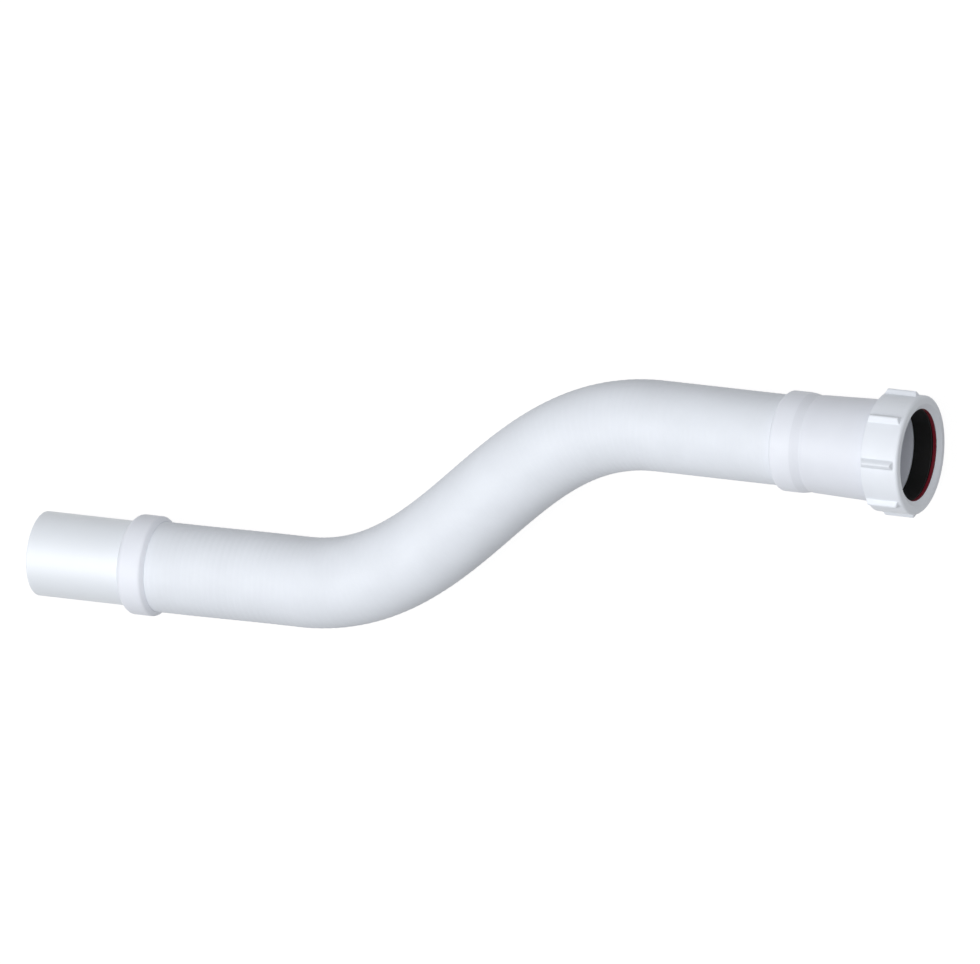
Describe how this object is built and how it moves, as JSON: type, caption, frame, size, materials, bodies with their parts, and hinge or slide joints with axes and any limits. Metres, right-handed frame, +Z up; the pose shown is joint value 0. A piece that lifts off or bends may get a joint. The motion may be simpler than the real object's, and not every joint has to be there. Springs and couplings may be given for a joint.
{
  "type": "flexible waste connector",
  "caption": "Ribbed flexible waste hose with a plain spigot at one end and a socket with a lugged compression nut, red slip washer and black rubber seal at the other.",
  "frame": {"origin": "middle of the part's footprint, on the surface it lies on", "axes": "+X runs from the spigot's open end to the nut's face, parallel to both fittings; +Z is up; +Y is the side the socket is offset to"},
  "size_m": [0.4518, 0.1496, 0.0604],
  "materials": {
    "white_fitting": "injection-moulded white polypropylene, satin",
    "white_hose": "ribbed extruded white polypropylene, satin",
    "white_nut": "injection-moulded white polypropylene, satin",
    "red_washer": "flat crimson polyethylene",
    "black_seal": "matt black rubber"
  },
  "bodies": {
    "socket_side": {"hose": "white_hose", "socket_end": "white_fitting"},
    "spigot_side": {"spigot_end": "white_fitting"},
    "seal_pack": {"slip_washer": "red_washer", "seal_ring": "black_seal"},
    "nut": {"compression_nut": "white_nut"}
  },
  "joints": [
    {"name": "hose_flex", "type": "hinge", "parent": "socket_side", "child": "spigot_side", "pos_m": [-0.0523, -0.0512, 0.02135], "axis": [0, 0, 1], "range_deg": [-30, 40], "deforming": ["hose"]},
    {"name": "seal_slide", "type": "slide", "parent": "socket_side", "child": "seal_pack", "axis": [1, 0, 0], "range_m": [0, 0.009]},
    {"name": "nut_turn", "type": "hinge", "parent": "seal_pack", "child": "nut", "pos_m": [0.20721, 0.04457, 0.0302], "axis": [1, 0, 0], "range_deg": [0, 1080]}
  ],
  "couplings": [
    {"joint": "seal_slide", "follows": "nut_turn", "m_per_rad": 0.00047746}
  ]
}
